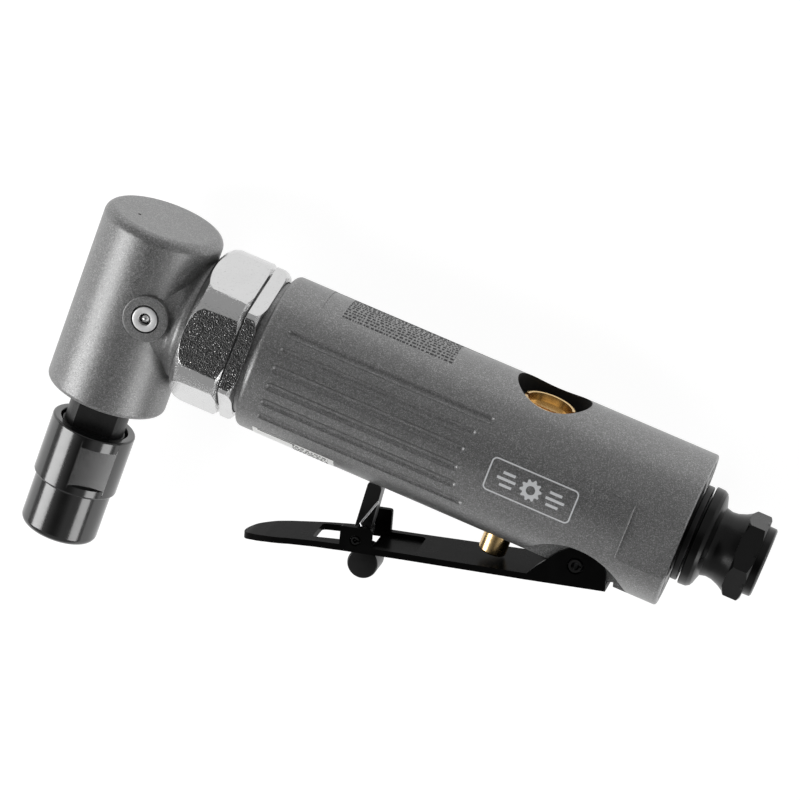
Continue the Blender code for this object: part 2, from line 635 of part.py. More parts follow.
def build_lever():
    """Pressed steel lever: a bent plate with two pivot ears and two latch ears."""
    top = PLATE_UNDER + PLATE_THICK
    side_profile = [
        (7.2, PLATE_UNDER), (7.2, top), (-54.0, top), (-60.0, top - 0.3), (-66.0, top - 0.8),
        (-72.0, top - 1.4), (-76.0, top - 2.0), (-78.4, top - 2.8, 0.4, 2),
        (-77.9, top - 4.1, 0.4, 2), (-75.4, top - 3.4), (-71.6, top - 2.8), (-65.6, top - 2.2),
        (-59.8, top - 1.75), (-53.8, PLATE_UNDER),
    ]
    lever = slab("throttle_lever", side_profile, -10.0, 10.0, "black_gloss", LEVER_AXIS)
    half = LEVER_HALF_WIDTH
    ear = LEVER_EAR_OUTER
    plan = [(-55.0, -half), (-40.0, -half), (-10.0, -ear), (8.0, -ear), (8.0, ear), (-10.0, ear),
            (-40.0, half), (-55.0, half)]
    for step in range(TIP_STEPS + 1):
        turn = math.pi * step / TIP_STEPS
        plan.append((TIP_START - TIP_LENGTH * math.sin(turn), TIP_HALF_WIDTH * math.cos(turn)))
    plan_cutter = slab("lever_plan", [(along, -across) for along, across in plan], -6.0, 12.0,
                       parent=LEVER_AXIS)
    plan_cutter.rotation_euler = (math.pi / 2, 0.0, 0.0)
    trim(lever, plan_cutter)

    ear_profile = [(7.2, PLATE_UNDER), (7.0, -1.0, 0.6, 2), (5.6, 2.6, 1.6, 3), (1.2, 5.2, 3.0, 4),
                   (-4.2, 2.6, 2.0, 3), (-8.6, -1.2, 2.0, 2), (-12.3, PLATE_UNDER)]
    thick = 1.3
    for side, front, rear, height in ((1, -3.6, 3.7, 1.0), (-1, -2.4, 5.1, 1.7)):
        low, high = sorted((side * (ear - thick), side * ear))
        join(lever, slab("pivot_ear_%d" % side, ear_profile, low, high, parent=LEVER_AXIS))
        latch_ear = [(LATCH_ALONG + rear, PLATE_UNDER), (LATCH_ALONG + rear, height, 0.6, 2),
                     (LATCH_ALONG + front, height, 0.6, 2), (LATCH_ALONG + front, PLATE_UNDER)]
        low, high = sorted((side * (half - thick), side * half))
        join(lever, slab("latch_ear_%d" % side, latch_ear, low, high, parent=LEVER_AXIS))

    pin_hole = rod("lever_hole", -12, 12, 1.95, axis="Z", parent=LEVER_AXIS)
    latch_hole = rod("latch_hole", -12, 12, 1.3, axis="Z", parent=LATCH_AXIS, steps=16)
    wide_slot = block("latch_gap", (LATCH_ALONG - 3.6, -8, -5.9), (LATCH_ALONG + 3.2, -2, 5.9),
                      parent=LEVER_AXIS)
    long_slot = block("latch_slot", (-61.2, -8, -4.1), (LATCH_ALONG + 1.0, -2, 5.7), parent=LEVER_AXIS)
    pocket = block("latch_pocket", (LATCH_ALONG + 2.2, top - 0.9, -5.7), (-36.8, top + 1.0, 5.7),
                   parent=LEVER_AXIS)
    cut(lever, pin_hole, latch_hole, wide_slot, long_slot, pocket)


def roll_pin(name, half_length, radius, parent):
    """A hollow spring pin with its slit."""
    pin = lathe(name, [
        (half_length, radius - 0.25), (half_length - 0.3, radius), (-half_length + 0.3, radius),
        (-half_length, radius - 0.25), (-half_length, radius * 0.6), (half_length, radius * 0.6),
    ], "black_satin", parent, axis="Z", steps=COARSE)
    slit = block(name + "_slit", (0.0, -0.2, -half_length - 1), (3.0, 0.2, half_length + 1),
                 parent=parent)
    return cut(pin, slit)


def build_latch():
    """Lock-off latch: an upright bar on a hub, with a round thumb piece below."""
    bar = slab("safety_latch", [
        (1.7, -1.0), (4.2, 12.0, 1.2, 3), (0.8, 12.35, 0.5, 2), (-2.0, -0.6), (-2.1, -3.4), (1.8, -3.4),
    ], -2.2, 2.2, "black_satin", LATCH_AXIS)
    hub = rod("latch_hub", -3.2, 3.2, 2.1, axis="Z", parent=LATCH_AXIS)
    thumb = rod("latch_thumb", -3.5, 3.5, 3.55, axis="Z", parent=LATCH_AXIS, at=(1.15, -6.6, 0),
                edge=0.4, steps=28)
    join(bar, hub, thumb)
    cut(bar, rod("latch_bore", -5, 5, 1.3, axis="Z", parent=LATCH_AXIS, steps=16))

    coil = []
    turns = 2.75
    for step in range(int(turns * SPRING_POINTS) + 1):
        angle = math.radians(60) - math.tau * step / SPRING_POINTS
        across = 3.85 + 0.62 * step / SPRING_POINTS
        coil.append((1.75 * math.cos(angle), 1.75 * math.sin(angle), across))
    leg = [(3.85, 8.2, 2.6), (2.6, 6.4, 2.75), (1.2, 4.4, 3.1), (-0.1, 2.6, 3.5)]
    tube("latch_spring", leg + coil, 0.5, "bright_steel", LATCH_AXIS, sides=0)
    roll_pin("lever_pin", LEVER_EAR_OUTER + 0.1, 1.6, LEVER_AXIS)
    roll_pin("latch_pin", LEVER_HALF_WIDTH + 0.1, 1.0, LATCH_AXIS)


# ------------------------------------------------------------------- air inlet

def build_inlet():
    """Inlet bushing with its seal, strainer and washer, and the exhaust ring."""
    bushing = lathe("air_inlet", [
        (152.6, 7.6), (152.3, 8.0), (150.7, 8.1), (150.6, 9.3), (150.1, 10.25), (146.9, 10.25),
        (146.2, 9.3), (144.9, 8.55), (143.2, 7.9), (141.8, 7.75), (140.4, 8.1), (139.7, 10.3),
        (139.3, 11.0), (138.5, 11.5), (136.6, 11.6), (136.4, 9.0), (122.6, 9.0),
        (122.6, 4.8), (127.6, 4.8), (129.0, 6.1), (152.6, 6.1),
    ], "black_satin", steps=28)
    body = rod("inlet_round", 121.0, 146.0, 14.0)
    join(body, hexagon("inlet_hexagon", 17.8, 145.0, 150.7, 0.0))
    join(body, rod("inlet_tip", 150.0, 153.5, 9.0, steps=16))
    trim(bushing, body)
    ring("inlet_washer", 134.6, 136.1, 9.4, 11.2, "black_satin", edge=0.2)
    deflector = ring("exhaust_deflector", 132.6, 134.1, 9.6, 16.1, "black_satin")
    for index in range(VENTS):
        angle = math.tau * (index + 0.5) / VENTS
        cut(deflector, rod("vent_%d" % index, 131.0, 136.0, 1.3, steps=6,
                           at=(0, 13.7 * math.cos(angle), 13.7 * math.sin(angle))))
    ring("exhaust_muffler", 130.6, 132.3, 9.6, 16.1, "felt", steps=COARSE, edge=0.2)
    lathe("inlet_screen", [
        (133.2, 5.7), (129.6, 5.7), (129.6, 4.9), (132.7, 4.9), (132.9, 5.2),
    ], "brass", steps=COARSE)


build_head()
build_grease_fitting()
build_spindle_group()
build_coupling()
build_housing()
build_pinion()
build_motor()
build_valve()
build_lever()
build_latch()
build_inlet()
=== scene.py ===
"""The look of the angle die grinder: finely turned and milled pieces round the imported
frame, their finishes, a pale studio and the camera."""
import json
import math
import random

import bmesh
import bpy
from mathutils import Euler, Matrix, Vector


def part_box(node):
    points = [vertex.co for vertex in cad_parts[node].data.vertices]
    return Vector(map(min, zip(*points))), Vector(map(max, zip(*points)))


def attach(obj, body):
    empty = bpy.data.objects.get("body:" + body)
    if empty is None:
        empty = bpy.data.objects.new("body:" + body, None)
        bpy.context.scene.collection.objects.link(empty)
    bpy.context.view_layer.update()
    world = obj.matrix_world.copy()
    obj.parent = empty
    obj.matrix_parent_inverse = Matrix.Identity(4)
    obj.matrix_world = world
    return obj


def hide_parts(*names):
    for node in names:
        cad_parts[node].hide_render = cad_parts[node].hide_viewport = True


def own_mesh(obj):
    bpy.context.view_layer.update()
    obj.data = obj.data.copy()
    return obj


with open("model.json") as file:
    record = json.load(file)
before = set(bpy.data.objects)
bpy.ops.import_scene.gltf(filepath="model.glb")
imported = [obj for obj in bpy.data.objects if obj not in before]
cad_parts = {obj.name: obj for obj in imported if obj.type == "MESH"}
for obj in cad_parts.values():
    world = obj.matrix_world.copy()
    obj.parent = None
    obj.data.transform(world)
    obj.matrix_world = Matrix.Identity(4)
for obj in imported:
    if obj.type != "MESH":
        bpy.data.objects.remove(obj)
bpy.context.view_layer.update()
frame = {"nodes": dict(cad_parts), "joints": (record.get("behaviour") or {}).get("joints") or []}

MM = 0.001

# ----------------------------------------------------------- places in the frame
# The barrel gives the motor's axis; its rear face is 134.2 mm behind the spindle's axis.
HOUSING_REAR = 134.2
barrel_low, barrel_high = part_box("motor_housing")
AXES_CROSS = Vector((barrel_high.x - HOUSING_REAR * MM, (barrel_low.y + barrel_high.y) / 2,
                     (barrel_low.z + barrel_high.z) / 2))
JOINTS = {joint["name"]: joint for joint in frame["joints"]}


def joint_place(name):
    """Where a joint is, in millimetres from the crossing of the two main axes."""
    return (Vector(JOINTS[name]["pos_m"]) - AXES_CROSS) / MM


HOUSING_R = 18.1
HOUSING_FRONT = 31.4
HEAD_R = 14.0
HEAD_TOP = 19.0
HEAD_BOTTOM = -24.9
NECK_R = 12.8
SPIGOT_R = 15.6
VALVE_X = joint_place("regulator_turn").x
LEVER_TILT = math.radians(15.7)
PLATE_UNDER = -4.9
PLATE_THICK = 1.5
LEVER_HALF_WIDTH = 7.5
LEVER_EAR_OUTER = 8.2
TIP_HALF_WIDTH = 6.4
TIP_START = -66.5
TIP_LENGTH = 11.5
TIP_STEPS = 40
LATCH_ALONG = -50.5
LATCH_ABOVE = 2.8
BOSS = (5.5, 0.15)
VENTS = 10

AXES = {
    "X": Matrix.Rotation(math.pi / 2, 4, "Y"),
    "Y": Matrix.Rotation(-math.pi / 2, 4, "X"),
    "Z": Matrix.Identity(4),
}
TOOL = Matrix.Translation(AXES_CROSS) @ Matrix.Scale(MM, 4)
LEVER = TOOL @ Matrix.Translation(joint_place("throttle_lever_press")) \
    @ Matrix.Rotation(LEVER_TILT, 4, "Z")
LATCH = LEVER @ Matrix.Translation((LATCH_ALONG, PLATE_UNDER + LATCH_ABOVE, 0))
VALVE = TOOL @ Matrix.Translation((VALVE_X, 0, 0))


# ------------------------------------------------------------------ mesh making

def rounded(corners, closed=True):
    """Points of an outline whose corners are (a, b) or (a, b, radius, pieces)."""
    points = []
    count = len(corners)
    for index, corner in enumerate(corners):
        here = Vector(corner[:2])
        at_end = not closed and index in (0, count - 1)
        if len(corner) < 3 or at_end:
            points.append(here)
            continue
        radius = corner[2]
        pieces = corner[3] if len(corner) > 3 else 6
        before = (Vector(corners[index - 1][:2]) - here).normalized()
        after = (Vector(corners[(index + 1) % count][:2]) - here).normalized()
        half = before.angle(after) / 2
        middle = here + (before + after).normalized() * radius / math.sin(half)
        start = here + before * radius / math.tan(half) - middle
        sweep = start.angle_signed(here + after * radius / math.tan(half) - middle)
        for step in range(pieces + 1):
            points.append(middle + Matrix.Rotation(-sweep * step / pieces, 2) @ start)
    return points


def to_object(name, bm, matrix):
    bmesh.ops.recalc_face_normals(bm, faces=bm.faces)
    bm.transform(matrix)
    mesh = bpy.data.meshes.new(name)
    bm.to_mesh(mesh)
    bm.free()
    piece = bpy.data.objects.new(name, mesh)
    bpy.context.scene.collection.objects.link(piece)
    return piece


def turned(name, corners, frame_of=TOOL, axis="X", at=(0, 0, 0), steps=128, closed=True):
    """A turned piece from corners (along the axis, radius, ...)."""
    points = rounded(corners, closed)
    bm = bmesh.new()
    ring = [bm.verts.new((radius, 0.0, along)) for along, radius in points]
    pairs = list(zip(ring, ring[1:] + ring[:1])) if closed else list(zip(ring, ring[1:]))
    edges = [bm.edges.new(pair) for pair in pairs]
    bmesh.ops.spin(bm, geom=ring + edges, cent=(0, 0, 0), axis=(0, 0, 1), angle=math.tau,
                   steps=steps, use_merge=False, use_duplicate=False)
    bmesh.ops.remove_doubles(bm, verts=bm.verts, dist=0.0005)
    return to_object(name, bm, frame_of @ Matrix.Translation(at) @ AXES[axis])


def rod(name, low, high, radius, frame_of=TOOL, axis="X", at=(0, 0, 0), steps=48, edge=0.0):
    """A round bar between two points on its axis, with rounded ends if edge is given."""
    corner = (radius, edge, 4) if edge else (radius,)
    corners = [(high, 0), (high, *corner), (low, *corner), (low, 0)]
    return turned(name, corners, frame_of, axis, at, steps, closed=False)


def slab(name, corners, low, high, frame_of=TOOL, turn=None):
    """A flat outline raised from low to high along its own Z."""
    bm = bmesh.new()
    face = bm.faces.new([bm.verts.new((a, b, low)) for a, b in rounded(corners)])
    grown = bmesh.ops.extrude_face_region(bm, geom=[face])
    moved = [part for part in grown["geom"] if isinstance(part, bmesh.types.BMVert)]
    bmesh.ops.translate(bm, verts=moved, vec=(0, 0, high - low))
    return to_object(name, bm, frame_of @ (turn or Matrix.Identity(4)))


def block(name, low, high, frame_of=TOOL, turn=None):
    """A box between two opposite corners."""
    bm = bmesh.new()
    bmesh.ops.create_cube(bm, size=1.0)
    low, high = Vector(low), Vector(high)
    fit = Matrix.Translation((low + high) / 2) @ Matrix.Diagonal((*(high - low), 1.0))
    return to_object(name, bm, frame_of @ (turn or Matrix.Identity(4)) @ fit)


def hexagon(name, flats, low, high, first):
    """A hexagonal bar on the motor's axis; first is one corner's angle."""
    radius = flats / 2 / math.cos(math.pi / 6)
    corners = []
    for index in range(6):
        angle = math.radians(first + 60 * index)
        corners.append((radius * math.cos(angle), radius * math.sin(angle)))
    return slab(name, corners, low, high, turn=AXES["X"])


def wire(name, points, thickness, frame_of=TOOL):
    """A round wire through the points."""
    curve = bpy.data.curves.new(name, "CURVE")
    curve.dimensions = "3D"
    curve.bevel_depth = thickness / 2
    curve.bevel_resolution = 3
    curve.use_fill_caps = True
    spline = curve.splines.new("POLY")
    spline.points.add(len(points) - 1)
    for point, where in zip(spline.points, points):
        point.co = (*where, 1.0)
    guide = bpy.data.objects.new(name, curve)
    bpy.context.scene.collection.objects.link(guide)
    evaluated = guide.evaluated_get(bpy.context.evaluated_depsgraph_get())
    bm = bmesh.new()
    bm.from_mesh(evaluated.to_mesh())
    bmesh.ops.remove_doubles(bm, verts=bm.verts, dist=0.0005)
    bpy.data.objects.remove(guide)
    bpy.data.curves.remove(curve)
    return to_object(name, bm, frame_of)


def machine(piece, operation, *tools):
    """Joins, cuts or trims a piece with others, which are used up."""
    for tool in tools:
        modifier = piece.modifiers.new(tool.name, "BOOLEAN")
        modifier.operation = operation
        modifier.solver = "EXACT"
        modifier.object = tool
    evaluated = piece.evaluated_get(bpy.context.evaluated_depsgraph_get())
    mesh = bpy.data.meshes.new_from_object(evaluated)
    piece.modifiers.clear()
    old = piece.data
    piece.data = mesh
    bpy.data.meshes.remove(old)
    for tool in tools:
        used = tool.data
        bpy.data.objects.remove(tool)
        bpy.data.meshes.remove(used)
    return piece


def cut(piece, *tools):
    return machine(piece, "DIFFERENCE", *tools)


def join(piece, *tools):
    return machine(piece, "UNION", *tools)


def trim(piece, *tools):
    return machine(piece, "INTERSECT", *tools)


def shade(piece, degrees):
    """Smooth shading, with the edges that are steeper than this kept sharp, and flat
    faces ruling over the narrow ones beside them."""
    piece.data.shade_smooth()
    piece.data.set_sharp_from_angle(angle=math.radians(degrees))
    weighted = piece.modifiers.new("weighted_normals", "WEIGHTED_NORMAL")
    weighted.keep_sharp = True
    return machine(piece, "DIFFERENCE")


def ease_edges(piece, width, degrees=34.0, segments=2):
    """Breaks the sharp edges of a piece, as a file or a tumbling drum does."""
    weld = piece.modifiers.new("weld", "WELD")
    weld.merge_threshold = 0.00001
    bevel = piece.modifiers.new("eased_edges", "BEVEL")
    bevel.width = width * MM
    bevel.segments = segments
    bevel.limit_method = "ANGLE"
    bevel.angle_limit = math.radians(degrees)
    bevel.miter_outer = "MITER_ARC"
    bevel.material = 1
    while len(piece.data.materials) < 2:
        piece.data.materials.append(None)
    return machine(piece, "DIFFERENCE")


def mount(piece, body, material, *nodes, slot=None, sharp=30.0, edges=None):
    """Shades a piece, gives it a finish, and sets it on its body for its CAD nodes.
    The faces that ease_edges has made can have a finish of their own."""
    shade(piece, sharp)
    eased = [polygon.index for polygon in piece.data.polygons if polygon.material_index == 1]
    piece.data.materials.clear()
    piece.data.materials.append(material)
    if edges:
        piece.data.materials.append(edges)
        for index in eased:
            piece.data.polygons[index].material_index = 1
    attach(piece, body)
    if nodes:
        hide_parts(*nodes)
    return piece


# --------------------------------------------------------------------- finishes

class Field:
    """A number or colour that varies over a surface, usable in expressions."""

    def __init__(self, finish, socket):
        self.finish = finish
        self.socket = socket

    def _maths(self, operation, first, second):
        return self.finish.node("ShaderNodeMath", {"operation": operation}, {0: first, 1: second})

    def __add__(self, other):
        return self._maths("ADD", self, other)

    def __radd__(self, other):
        return self._maths("ADD", other, self)

    def __sub__(self, other):
        return self._maths("SUBTRACT", self, other)

    def __mul__(self, other):
        return self._maths("MULTIPLY", self, other)

    def __rmul__(self, other):
        return self._maths("MULTIPLY", other, self)


class Finish:
    """A material built from nodes; uniform values go straight on the shader."""

    def __init__(self, name, colour, roughness, metallic=0.0, **uniform):
        self.material = bpy.data.materials.new(name)
        self.material.use_nodes = True
        self.tree = self.material.node_tree
        self.shader = self.tree.nodes["Principled BSDF"]
        self.put(Base_Color=(*colour, 1.0), Roughness=roughness, Metallic=metallic, **uniform)
        self.colour = colour

    def put(self, **values):
        for name, value in values.items():
            socket = self.shader.inputs[name.replace("_", " ")]
            if isinstance(value, Field):
                self.tree.links.new(value.socket, socket)
            else:
                socket.default_value = value
        return self

    def node(self, kind, settings=None, inputs=None, output=0):
        node = self.tree.nodes.new(kind)
        for name, value in (settings or {}).items():
            if name == "stops":
                ramp = node.color_ramp
                for index, (place, shade_of) in enumerate(value):
                    stop = ramp.elements[index] if index < 2 else ramp.elements.new(place)
                    stop.position = place
                    stop.color = (shade_of, shade_of, shade_of, 1.0)
            else:
                setattr(node, name, value)
        for name, value in (inputs or {}).items():
            if isinstance(value, Field):
                self.tree.links.new(value.socket, node.inputs[name])
            else:
                node.inputs[name].default_value = value
        return Field(self, node.outputs[output])

    def place(self, stretch=(1.0, 1.0, 1.0)):
        """The point on the piece, in metres, optionally stretched."""
        here = self.node("ShaderNodeTexCoord", output=3)
        if stretch == (1.0, 1.0, 1.0):
            return here
        return self.node("ShaderNodeVectorMath", {"operation": "MULTIPLY"}, {0: here, 1: stretch})

    def noise(self, size, detail=2.0, stretch=(1.0, 1.0, 1.0), roughness=0.5):
        """Soft cloudy noise; size is that of one patch, in millimetres."""
        return self.node("ShaderNodeTexNoise", None, {
            "Vector": self.place(stretch), "Scale": 1.0 / (size * MM), "Detail": detail,
            "Roughness": roughness})

    def grains(self, size):
        """A random value for each grain of about this size, in millimetres."""
        cells = self.node("ShaderNodeTexVoronoi", {"feature": "F1"}, {
            "Vector": self.place(), "Scale": 1.0 / (size * MM)}, output=1)
        return self.node("ShaderNodeSeparateColor", None, {"Color": cells})

    def ramp(self, value, *stops):
        return self.node("ShaderNodeValToRGB", {"stops": stops}, {"Fac": value})

    def mix(self, factor, first, second):
        """Between two colours, by their numbered sockets on the colour mixer."""
        first, second = [value if isinstance(value, Field) else (*value, 1.0)
                         for value in (first, second)]
        return self.node("ShaderNodeMix", {"data_type": "RGBA"},
                         {0: factor, 6: first, 7: second}, output=2)

    def bump(self, height, depth, strength=1.0):
        """Relief from a height field; depth is in millimetres."""
        return self.node("ShaderNodeBump", None, {
            "Height": height, "Distance": depth * MM, "Strength": strength})


def sprayed_metallic(name, tone):
    """Mid grey metallic paint: fine flakes, thinly coated."""
    paint = Finish(name, (tone,) * 3, 0.42, 0.92, Coat_Roughness=0.3)
    flakes = paint.grains(0.17)
    cloud = paint.noise(7.0, 3.0)
    bright = paint.ramp(flakes, (0.0, 0.0), (0.78, 0.4), (1.0, 1.0))
    body = paint.mix(bright, (tone * 0.74,) * 3, (tone * 1.95,) * 3)
    body = paint.mix(cloud * 0.25, body, (tone * 0.85,) * 3)
    peel = paint.noise(0.42, 2.0)
    paint.put(Base_Color=body,
              Roughness=0.35 + flakes * 0.12 + cloud * 0.04,
              Coat_Weight=0.06 + cloud * 0.08,
              Normal=paint.bump(flakes * 0.5 + peel * 0.6, 0.045, 0.9))
    return paint.material


def plated(name, tone, roughness):
    """Bright plating over a pebbled skin, with a few handling marks."""
    plate = Finish(name, (tone, tone, tone * 1.01), roughness, 1.0)
    skin = plate.noise(0.27, 1.0)
    haze = plate.noise(5.0, 3.0)
    scratches = plate.noise(0.5, 2.0, (1.0, 0.04, 0.04))
    marks = plate.ramp(scratches, (0.62, 0.0), (0.75, 1.0))
    plate.put(Roughness=roughness + haze * 0.05 + marks * 0.08,
              Base_Color=plate.mix(haze * 0.35, (tone,) * 3, (tone * 0.82,) * 3),
              Normal=plate.bump(skin, 0.085, 1.0))
    return plate.material


def blacked(name, tone, roughness, grain=0.0, sheen=0.0, glare=0.3):
    """Black oxide or black paint on steel, a little dusty and rubbed."""
    black = Finish(name, (tone,) * 3, roughness, 0.0, Coat_Roughness=0.1)
    dust = black.noise(3.0, 4.0)
    fine = black.noise(0.3, 2.0)
    rubbed = black.noise(1.2, 3.0, (0.3, 1.0, 1.0))
    patch = black.ramp(dust, (0.45, 0.0), (0.8, 1.0))
    black.put(Base_Color=black.mix(patch * 0.3, (tone,) * 3, (tone * 2.2,) * 3),
              Roughness=roughness + dust * 0.09 + rubbed * 0.05,
              Coat_Weight=sheen + rubbed * 0.02,
              Specular_IOR_Level=glare,
              Normal=black.bump(fine * (0.4 + grain) + rubbed * 0.3, 0.006 + 0.03 * grain, 0.7))
    return black.material


def machined(name, colour, roughness, metallic=1.0, lines=0.25, along="X"):
    """Metal with fine tool marks in rings round its axis."""
    metal = Finish(name, colour, roughness, metallic)
    stretch = {"X": (1.0, 0.02, 0.02), "Y": (0.02, 1.0, 0.02), "Z": (0.02, 0.02, 1.0)}[along]
    rings = metal.noise(0.16, 3.0, stretch)
    stain = metal.noise(2.5, 4.0)
    dark = tuple(part * 0.72 for part in colour)
    metal.put(Base_Color=metal.mix(metal.ramp(stain, (0.4, 0.0), (0.75, 0.6)), colour, dark),
              Roughness=roughness + rings * 0.10 + stain * 0.08,
              Normal=metal.bump(rings, 0.006, lines))
    return metal.material


def soft_goods(name, colour, grain, roughness=0.8):
    """Rubber, felt or laminate, with its grain in millimetres."""
    goods = Finish(name, colour, roughness)
    fibre = goods.noise(grain, 4.0)
    cloud = goods.noise(grain * 9.0, 3.0)
    light = tuple(min(1.0, part * 1.5) for part in colour)
    goods.put(Base_Color=goods.mix(fibre * 0.6, colour, light),
              Roughness=roughness - 0.1 + cloud * 0.2,
              Normal=goods.bump(fibre, 0.05, 0.6))
    return goods.material


GREY_PAINT = sprayed_metallic("grey_metallic_paint", 0.24)
CHROME = plated("polished_chrome", 0.64, 0.03)
BLACK_GLOSS = blacked("gloss_black_oxide", 0.004, 0.10, sheen=0.15, glare=0.75)
INLET_BLACK = blacked("inlet_black_oxide", 0.004, 0.22, glare=0.25)
LEVER_BLACK = blacked("gloss_black_paint", 0.004, 0.22, glare=0.01)
RUBBED_EDGE = machined("rubbed_edge", (0.30, 0.30, 0.30), 0.30)
BLACK_SATIN = blacked("satin_black_oxide", 0.006, 0.28, glare=0.35)
BLACK_ROUGH = blacked("rough_black_oxide", 0.008, 0.35, grain=1.6, glare=0.5)
FITTING_STEEL = machined("fitting_steel", (0.92, 0.92, 0.92), 0.42, lines=0.1, along="Z")
BRASS = machined("turned_brass", (0.78, 0.55, 0.26), 0.16, along="Y")
BRIGHT_STEEL = machined("bright_steel", (0.66, 0.66, 0.66), 0.2)
SPRING_STEEL = machined("spring_wire", (0.62, 0.62, 0.63), 0.22)
DARK_STEEL = machined("hardened_steel", (0.2, 0.2, 0.21), 0.34)
CAST_IRON = machined("machined_iron", (0.16, 0.16, 0.17), 0.45, 0.85)
RUBBER = soft_goods("black_rubber", (0.018, 0.018, 0.018), 0.12, 0.7)
FELT = soft_goods("grey_felt", (0.3, 0.29, 0.27), 0.25, 0.95)
LAMINATE = soft_goods("brown_laminate", (0.24, 0.13, 0.05), 0.2, 0.6)
PRINT = soft_goods("pale_print", (0.62, 0.63, 0.64), 0.1, 0.45)
DARK_PRINT = soft_goods("dark_print", (0.028, 0.028, 0.03), 0.1, 0.5)
# Near-black finish laid on the wall of the regulator's recess: painted shade in the hollow.
BORE_SHADE_BLACK = blacked("painted_bore_shade", 0.012, 0.4, grain=0.5, sheen=0.05)
STICKER = soft_goods("white_sticker", (0.80, 0.80, 0.78), 0.1, 0.5)


# ------------------------------------------------------------------- angle head

def make_head():
    body = turned("head_shell", [
        (HEAD_TOP, 0), (HEAD_TOP, HEAD_R, 2.3, 10), (HEAD_BOTTOM, HEAD_R, 1.2, 6), (HEAD_BOTTOM, 0),
    ], axis="Y", steps=160, closed=False)
    neck = turned("neck", [
        (25.0, 0), (25.0, 13.3), (18.0, 13.3), (18.0, SPIGOT_R), (15.9, SPIGOT_R),
        (15.9, 14.5), (13.7, 14.5), (12.9, 14.15, 0.8, 4), (11.2, NECK_R, 2.0, 6),
        (3.0, NECK_R), (3.0, 0),
    ], steps=160, closed=False)
    boss = turned("boss", [(14.05, 0), (14.05, 5.4, 0.45, 4), (6.0, 5.4), (6.0, 0)],
                  axis="Z", at=(*BOSS, 0), steps=96, closed=False)
    hollow = turned("hollow", [
        (15.8, 0), (15.8, 8.3), (9.5, 8.3), (9.5, 11.4), (HEAD_BOTTOM - 2, 11.4),
        (HEAD_BOTTOM - 2, 0)], axis="Y", steps=96, closed=False)
    join(body, neck, boss)
    cut(body, hollow, rod("pinion_bore", 4.0, 27.0, 8.3, steps=96),
        rod("fitting_hole", 9.0, 16.0, 3.25, axis="Z", at=(*BOSS, 0), steps=64),
        rod("dimple", HEAD_TOP - 0.4, HEAD_TOP + 1.0, 0.4, axis="Y", at=(-5.5, 0, 4.0), steps=24))
    mount(body, "housing", GREY_PAINT, "head_housing", slot="grey_paint")

    fitting = turned("grease_nipple", [
        (14.3, 1.45, 0.12, 3), (14.3, 2.9, 0.3, 5), (9.4, 2.95), (9.4, 0.8), (11.0, 0.8),
        (12.3, 1.35), (13.9, 1.35),
    ], axis="Z", at=(*BOSS, 0), steps=72)
    mount(fitting, "housing", FITTING_STEEL, "grease_fitting", slot="bright_steel")
    ball = rod("nipple_ball", 12.1, 14.05, 0.975, axis="Z", at=(*BOSS, 0), steps=32, edge=0.97)
    mount(ball, "housing", BRIGHT_STEEL, "grease_fitting_ball", slot="bright_steel")
    # A thin black ring in the gap round the grease nipple: painted shadow, given the black rubber finish.
    gap = turned("nipple_shadow_ring", [(13.2, 3.0), (13.2, 3.2), (12.9, 3.2), (12.9, 3.0)],
                 axis="Z", at=(*BOSS, 0), steps=64)
    mount(gap, "housing", RUBBER, slot="rubber")


SPINDLE_FLAT_TURN = 10
NUT_FLAT_TURN = 31


